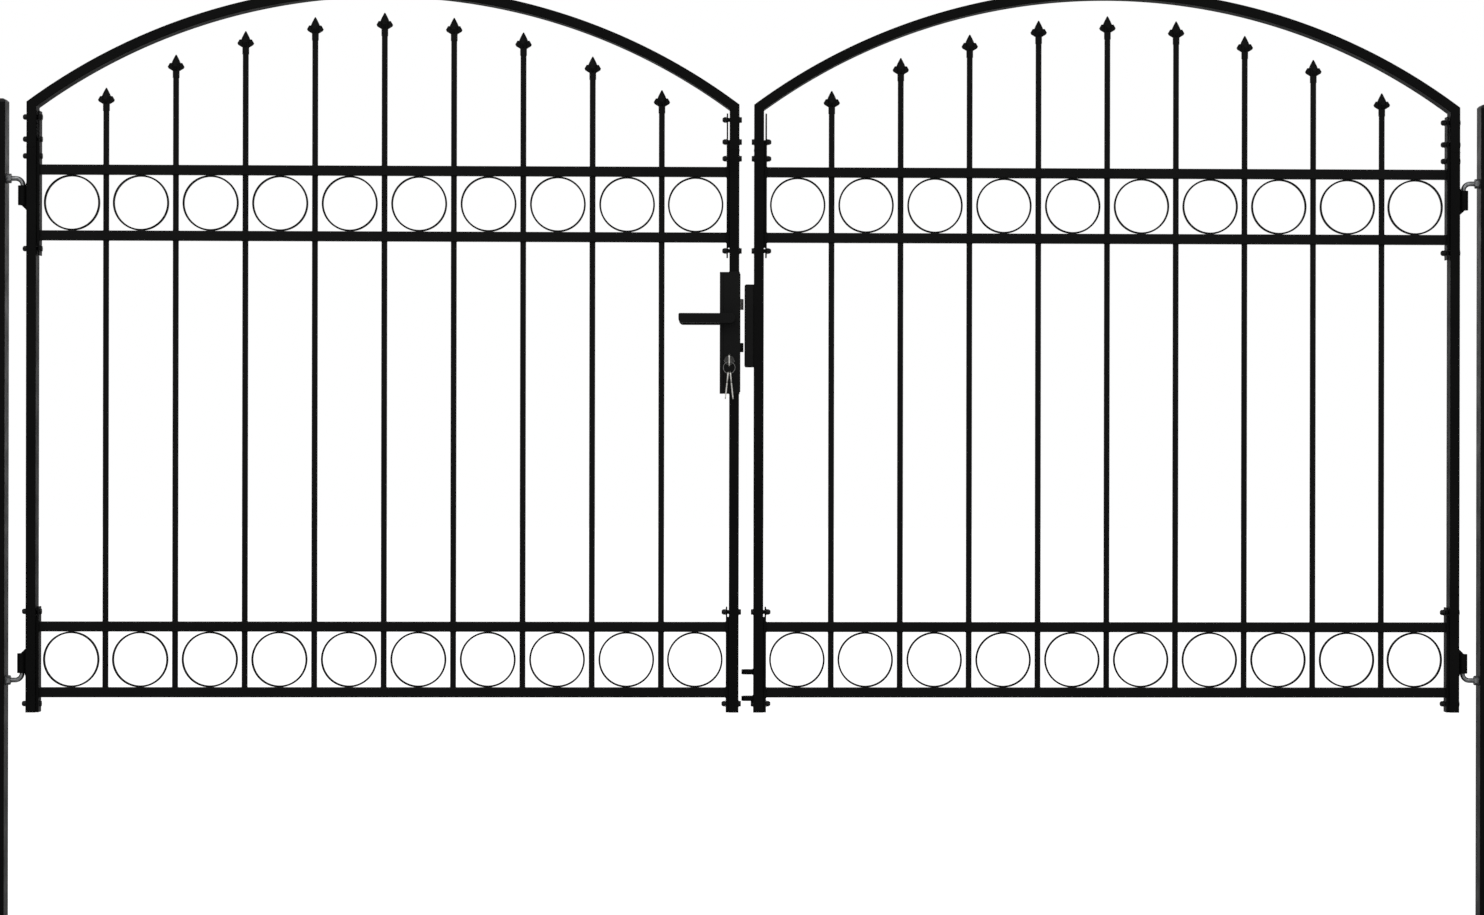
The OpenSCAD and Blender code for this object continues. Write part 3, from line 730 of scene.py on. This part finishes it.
def straight_bead(length, radius, cuts):
    """A weld bead along Z with domed ends, centred on the origin."""
    clear_selection()
    bpy.ops.mesh.primitive_uv_sphere_add(segments=10, ring_count=7, radius=radius)
    piece = set_in_place(bpy.context.object, "bead")
    reach = length / 2 - radius
    mesh = open_mesh(piece, "VERT")
    mark(piece, mesh, mesh.verts, lambda vertex: vertex.co.z > 0)
    bpy.ops.transform.translate(value=(0, 0, reach))
    mesh = bmesh.from_edit_mesh(piece.data)
    mark(piece, mesh, mesh.verts, lambda vertex: vertex.co.z < 0)
    bpy.ops.transform.translate(value=(0, 0, -reach))
    bpy.ops.mesh.select_mode(type="EDGE")
    mesh = bmesh.from_edit_mesh(piece.data)
    mark(piece, mesh, mesh.edges, lambda line: line.verts[0].co.z * line.verts[1].co.z < 0)
    bpy.ops.mesh.subdivide(number_cuts=cuts)
    close_mesh()
    return piece


def square_bead(width, depth, corner, radius):
    """A weld bead round a tube, lying in the XY plane."""
    clear_selection()
    bpy.ops.mesh.primitive_plane_add(size=1)
    piece = bpy.context.object
    piece.scale = (width, depth, 1)
    set_in_place(piece, "bead")
    open_mesh(piece, "VERT")
    bpy.ops.mesh.select_all(action="SELECT")
    bpy.ops.mesh.bevel(offset=corner, segments=4, affect="VERTICES")
    bpy.ops.mesh.select_all(action="SELECT")
    bpy.ops.mesh.delete(type="ONLY_FACE")
    bpy.ops.mesh.select_all(action="SELECT")
    bpy.ops.mesh.subdivide(number_cuts=6)
    close_mesh()
    pick(piece)
    bpy.ops.object.convert(target="CURVE")
    piece.data.bevel_depth = radius
    piece.data.bevel_resolution = 1
    bpy.ops.object.convert(target="MESH")
    face_outwards(piece)
    return piece


def ring_bead(radius, bead):
    """A weld bead round a picket, thicker at every third point."""
    clear_selection()
    bpy.ops.mesh.primitive_torus_add(
        major_radius=radius, minor_radius=bead, major_segments=18, minor_segments=6)
    piece = set_in_place(bpy.context.object, "bead")
    mesh = open_mesh(piece, "VERT")
    mark(piece, mesh, mesh.verts, lambda vertex: vertex.index % 3 == 0)
    bpy.ops.transform.resize(value=(1.02, 1.02, 1.15))
    close_mesh()
    return piece


def rail_welds(side):
    """A bead round each end of a leaf's rails."""
    heights, half = rail_places(side)
    low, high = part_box(f"{side}_upper_rails")
    model = square_bead(2 * half, 2 * half, RAIL_CORNER, RAIL_BEAD)
    lying = turned(QUARTER, "Y")
    places = [at(x, 0, z, lying) for x in (low.x, high.x) for z in heights]
    welds = place_copies(model, f"{side}_rail_welds", places)
    rough_bead(welds, strength=0.6 * MM)
    return dress(welds, f"{side}_leaf", infill_coat)


def picket_welds(side):
    """A bead round each picket where it enters or leaves a rail."""
    heights, half = rail_places(side)
    xs, radius = picket_places(side)
    levels = [z + half for z in heights] + [z - half for z in heights[1:]]
    model = ring_bead(radius + 0.2 * MM, PICKET_BEAD)
    welds = place_copies(model, f"{side}_picket_welds", [at(x, 0, z) for x in xs for z in levels])
    smooth(welds, 80)
    return dress(welds, f"{side}_leaf", infill_coat)


def ring_welds(side):
    """A short bead where each ring touches the rails above and below it."""
    heights, half = rail_places(side)
    low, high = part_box(f"{side}_upper_rings")
    depth = high.y - low.y
    model = straight_bead(depth * 0.9, RING_BEAD, cuts=3)
    open_mesh(model)
    bpy.ops.mesh.select_all(action="SELECT")
    bpy.ops.transform.resize(value=(2.2, 0.6, 1))
    close_mesh()
    lying = turned(QUARTER, "X")
    places = []
    for band, below, above in zip(BANDS, heights[::2], heights[1::2]):
        for x in ring_places(side, band):
            places += [at(x, 0, below + half, lying), at(x, 0, above - half, lying)]
    welds = place_copies(model, f"{side}_ring_welds", places)
    smooth(welds, 80)
    return dress(welds, f"{side}_leaf", infill_coat)


def weld_fillet(reach, height, width):
    """A wedge of weld on a wall at x = 0 and a seat at z = 0, worn round at its edges."""
    clear_selection()
    bpy.ops.mesh.primitive_cube_add(size=1, location=(reach / 2, 0, height / 2))
    piece = bpy.context.object
    piece.scale = (reach, width, height)
    set_in_place(piece, "fillet")
    mesh = open_mesh(piece, "VERT")
    mark(piece, mesh, mesh.verts, lambda v: v.co.x > reach / 2 and v.co.z > height / 2)
    bpy.ops.transform.translate(value=(-0.8 * reach, 0, 0))
    mesh = bmesh.from_edit_mesh(piece.data)
    mark(piece, mesh, mesh.verts, lambda v: v.co.x < 0.5 * reach and v.co.z > height / 2)
    bpy.ops.transform.resize(value=(1, 0.6, 1))
    bpy.ops.mesh.select_all(action="SELECT")
    bpy.ops.mesh.subdivide(number_cuts=5)
    close_mesh()
    apply_modifier(piece, "SMOOTH", factor=0.5, iterations=6)
    return piece


def barrel_welds(side):
    """Runs along a leaf's barrels, a bead at the pin's end of each, a fillet at the other end."""
    low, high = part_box(f"{side}_hinge_barrels")
    stile_low, stile_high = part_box(f"{side}_hinge_stile")
    faces_left = low.x < stile_low.x
    face = stile_low.x if faces_left else stile_high.x
    out = turned(math.pi, "Z") if faces_left else Matrix.Identity(4)
    over = turned(math.pi, "X")
    model = straight_bead(BARREL_LENGTH, BARREL_BEAD, cuts=14)
    places = []
    for z in (low.z + BARREL_LENGTH / 2, high.z - BARREL_LENGTH / 2):
        places += [at(face, y, z) for y in (-BARREL_RUN, BARREL_RUN)]
    runs = place_copies(model, "runs", places)
    end_model = straight_bead(BARREL_END, BARREL_BEAD, cuts=5)
    open_mesh(end_model)
    bpy.ops.mesh.select_all(action="SELECT")
    bpy.ops.transform.resize(value=(1.8, 3.4, 1))
    close_mesh()
    lying = turned(QUARTER, "X")
    caps = place_copies(end_model, "caps", [at(face, 0, z, lying) for z in (low.z, high.z)])
    fillet = weld_fillet(FILLET_REACH, FILLET_HEIGHT, FILLET_WIDTH)
    fillets = place_copies(fillet, "fillets", [
        at(face, 0, low.z + BARREL_LENGTH, out), at(face, 0, high.z - BARREL_LENGTH, out @ over)])
    welds = join(f"{side}_barrel_welds", runs, caps, fillets)
    rough_bead(welds, strength=0.8 * MM)
    return dress(welds, f"{side}_leaf", powder_coat)


def arch_welds(side):
    """Dressed seams where the arch's legs stand on the stiles."""
    seams = []
    for edge in STILES:
        low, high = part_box(f"{side}_{edge}_stile")
        model = square_bead(high.x - low.x, high.y - low.y, STILE_CORNER, TUBE_BEAD)
        seams.append(place_copies(model, "seam", [at((low.x + high.x) / 2, 0, high.z)]))
    welds = join(f"{side}_arch_welds", *seams)
    rough_bead(welds, strength=0.3 * MM)
    return dress(welds, f"{side}_leaf", powder_coat)


def lock_welds():
    """Beads where the stile enters the lock case from below and from above."""
    low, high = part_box("left_meeting_stile")
    case_low, case_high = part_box("lock_case")
    model = square_bead(high.x - low.x, high.y - low.y, STILE_CORNER, RAIL_BEAD)
    middle = (low.x + high.x) / 2
    places = [at(middle, 0, z) for z in (case_low.z, case_high.z)]
    welds = place_copies(model, "lock_case_welds", places)
    rough_bead(welds, strength=0.5 * MM)
    return dress(welds, "left_leaf", lock_coat)


def keeper_welds():
    """Runs along both sides of the keeper, and beads over and under each lug."""
    low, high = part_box("keeper")
    runs = place_copies(
        straight_bead(high.z - low.z, KEEPER_BEAD, cuts=40), "runs",
        [at(high.x, y, (low.z + high.z) / 2) for y in (low.y, high.y)])
    lug_low, lug_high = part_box("drop_rod_lugs")
    lying = turned(QUARTER, "X")
    levels = [lug_low.z, lug_low.z + LUG, lug_high.z - LUG, lug_high.z]
    lugs = place_copies(
        straight_bead(lug_high.y - lug_low.y, KEEPER_BEAD, cuts=8), "lugs",
        [at(high.x, 0, z, lying) for z in levels])
    welds = join("keeper_and_lug_welds", runs, lugs)
    rough_bead(welds, strength=0.6 * MM)
    return dress(welds, "right_leaf", powder_coat)


# Hinge pin threads

def thread(length, radius):
    """A thread along +X from x = 0 over a rod of the given radius."""
    clear_selection()
    bpy.ops.mesh.primitive_circle_add(vertices=3, radius=THREAD_PITCH / 2)
    piece = set_in_place(bpy.context.object, "thread")
    mesh = open_mesh(piece, "VERT")
    crest, root_a, root_b = list(mesh.verts)
    crest.co = (0, radius + THREAD_CREST, 0)
    root_a.co = (-THREAD_PITCH / 2, radius - THREAD_ROOT, 0)
    root_b.co = (THREAD_PITCH / 2, radius - THREAD_ROOT, 0)
    bmesh.update_edit_mesh(piece.data)
    close_mesh()
    apply_modifier(piece, "SCREW", axis="X", screw_offset=THREAD_PITCH, steps=20, render_steps=20,
                   iterations=max(1, round(length / THREAD_PITCH)), use_merge_vertices=True)
    close_ends(piece)
    return piece


def pin_threads(side):
    """The thread that shows on a side's hinge pins: bare lengths by the leaf, and the pins' ends."""
    pins_low, pins_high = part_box(f"{side}_hinge_pins")
    nuts_low, nuts_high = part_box(f"{side}_hinge_nuts")
    radius = (pins_high.y - pins_low.y) / 2
    arms = (pins_low.z + radius, pins_high.z - radius)
    if side == "left":
        bare_start = nuts_high.x
        end_start, end_length = pins_low.x, nuts_low.x - pins_low.x
    else:
        bare_start = nuts_low.x - THREAD_BARE
        end_start, end_length = nuts_high.x, pins_high.x - nuts_high.x
    bare = place_copies(thread(THREAD_BARE, radius), "bare", [at(bare_start, 0, z) for z in arms])
    stub = place_copies(
        thread(end_length - THREAD_PITCH, radius), "stub",
        [at(end_start + THREAD_PITCH / 2, 0, z) for z in arms])
    threads = join(f"{side}_pin_threads", bare, stub)
    smooth(threads, 30)
    return dress(threads, "posts", zinc_plate)


# Key ring

def split_ring():
    """The keys' split ring: two flat turns of wire that lie on each other."""
    low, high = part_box("key_ring")
    wire = high.y - low.y
    outer = (high.z - low.z) / 2
    middle = (low + high) / 2
    clear_selection()
    bpy.ops.mesh.primitive_circle_add(vertices=8, radius=wire / 4)
    ring = bpy.context.object
    set_in_place(ring, "key_split_ring")
    open_mesh(ring, "VERT")
    bpy.ops.mesh.select_all(action="SELECT")
    bpy.ops.transform.resize(value=(1.7, 1, 1))
    bpy.ops.transform.translate(value=(outer - wire / 2, 0, 0))
    close_mesh()
    apply_modifier(ring, "SCREW", axis="Y", screw_offset=wire / 2, steps=40, render_steps=40,
                   iterations=2, use_merge_vertices=False)
    close_ends(ring)
    ring.location = middle - Vector((0, wire / 2, 0))
    set_in_place(ring, "key_split_ring")
    smooth(ring, 50)
    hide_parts("key_ring")
    return dress(ring, "left_leaf", ring_steel)


# Stage

def make_floor():
    """A pale floor that goes white some way off, and keeps the shadow of the gate near it."""
    low, high = cad_box
    middle = (low[0] + high[0]) / 2
    clear_selection()
    bpy.ops.mesh.primitive_plane_add(size=FLOOR_SIZE, location=FLOOR_PLACE)
    floor = bpy.context.object
    floor.name = "floor"
    material, nodes, links = new_material("pale_floor")
    surface = nodes["Principled BSDF"]
    surface.inputs["Base Color"].default_value = (FLOOR_TONE, FLOOR_TONE, FLOOR_TONE, 1)
    surface.inputs["Roughness"].default_value = 0.9
    surface.inputs["Specular IOR Level"].default_value = 0
    glow = nodes.new("ShaderNodeEmission")
    place = nodes.new("ShaderNodeTexCoord")
    reach = nodes.new("ShaderNodeMapping")
    reach.vector_type = "TEXTURE"
    reach.inputs["Location"].default_value = (middle - FLOOR_PLACE[0], -FLOOR_PLACE[1], 0)
    reach.inputs["Scale"].default_value = (*SHADOW_FLOOR, 1)
    links.new(place.outputs["Object"], reach.inputs["Vector"])
    away = nodes.new("ShaderNodeVectorMath")
    away.operation = "LENGTH"
    links.new(reach.outputs["Vector"], away.inputs[0])
    strength = graded(material, away.outputs["Value"], *FLOOR_GLOW, *SHADOW_FADE)
    links.new(strength, glow.inputs["Strength"])
    both = nodes.new("ShaderNodeAddShader")
    links.new(surface.outputs["BSDF"], both.inputs[0])
    links.new(glow.outputs["Emission"], both.inputs[1])
    path = nodes.new("ShaderNodeLightPath")
    choose = nodes.new("ShaderNodeMixShader")
    links.new(path.outputs["Is Camera Ray"], choose.inputs["Fac"])
    links.new(surface.outputs["BSDF"], choose.inputs[1])
    links.new(both.outputs["Shader"], choose.inputs[2])
    links.new(choose.outputs["Shader"], nodes["Material Output"].inputs["Surface"])
    floor.data.materials.append(material)


def make_world():
    """White to the camera and in reflections; a plain soft light to everything else."""
    world = bpy.data.worlds.new("studio")
    bpy.context.scene.world = world
    world.use_nodes = True
    nodes, links = world.node_tree.nodes, world.node_tree.links
    path = nodes.new("ShaderNodeLightPath")
    seen = nodes.new("ShaderNodeMath")
    seen.operation = "MAXIMUM"
    links.new(path.outputs["Is Camera Ray"], seen.inputs[0])
    links.new(path.outputs["Is Glossy Ray"], seen.inputs[1])
    through = nodes.new("ShaderNodeMath")
    through.operation = "MAXIMUM"
    links.new(seen.outputs["Value"], through.inputs[0])
    links.new(path.outputs["Is Transmission Ray"], through.inputs[1])
    soft = nodes["Background"]
    soft.inputs["Color"].default_value = (1, 1, 1, 1)
    soft.inputs["Strength"].default_value = SOFT_LIGHT
    white = nodes.new("ShaderNodeBackground")
    white.inputs["Color"].default_value = (1, 1, 1, 1)
    white.inputs["Strength"].default_value = 1
    choose = nodes.new("ShaderNodeMixShader")
    links.new(through.outputs["Value"], choose.inputs["Fac"])
    links.new(soft.outputs["Background"], choose.inputs[1])
    links.new(white.outputs["Background"], choose.inputs[2])
    links.new(choose.outputs["Shader"], nodes["World Output"].inputs["Surface"])


def make_lamp(name, place, aim, size, watts):
    clear_selection()
    bpy.ops.object.light_add(type="AREA", location=place)
    lamp = bpy.context.object
    lamp.name = name
    lamp.data.size = size
    lamp.data.energy = watts
    lamp.rotation_euler = (Vector(aim) - Vector(place)).to_track_quat("-Z", "Y").to_euler()


def make_camera():
    clear_selection()
    turn = [math.radians(angle) for angle in CAMERA_TURN]
    bpy.ops.object.camera_add(location=CAMERA_PLACE, rotation=turn)
    camera = bpy.context.object
    camera.data.lens = LENS_MM
    camera.data.sensor_width = SENSOR_MM
    camera.data.shift_x, camera.data.shift_y = LENS_SHIFT
    camera.data.clip_end = 200
    bpy.context.scene.camera = camera


make_camera()
make_floor()
make_world()
for name, setting in LAMPS.items():
    make_lamp(name, *setting)
bpy.context.scene.view_settings.view_transform = "Standard"

finish_nodes()
soften_edges()
for side in SIDES:
    round_arch(side)
    for band in BANDS:
        ring_band(side, band)
    frame_bolts(side)
    rail_welds(side)
    picket_welds(side)
    ring_welds(side)
    barrel_welds(side)
    arch_welds(side)
    pin_threads(side)
lock_welds()
keeper_welds()
split_ring()
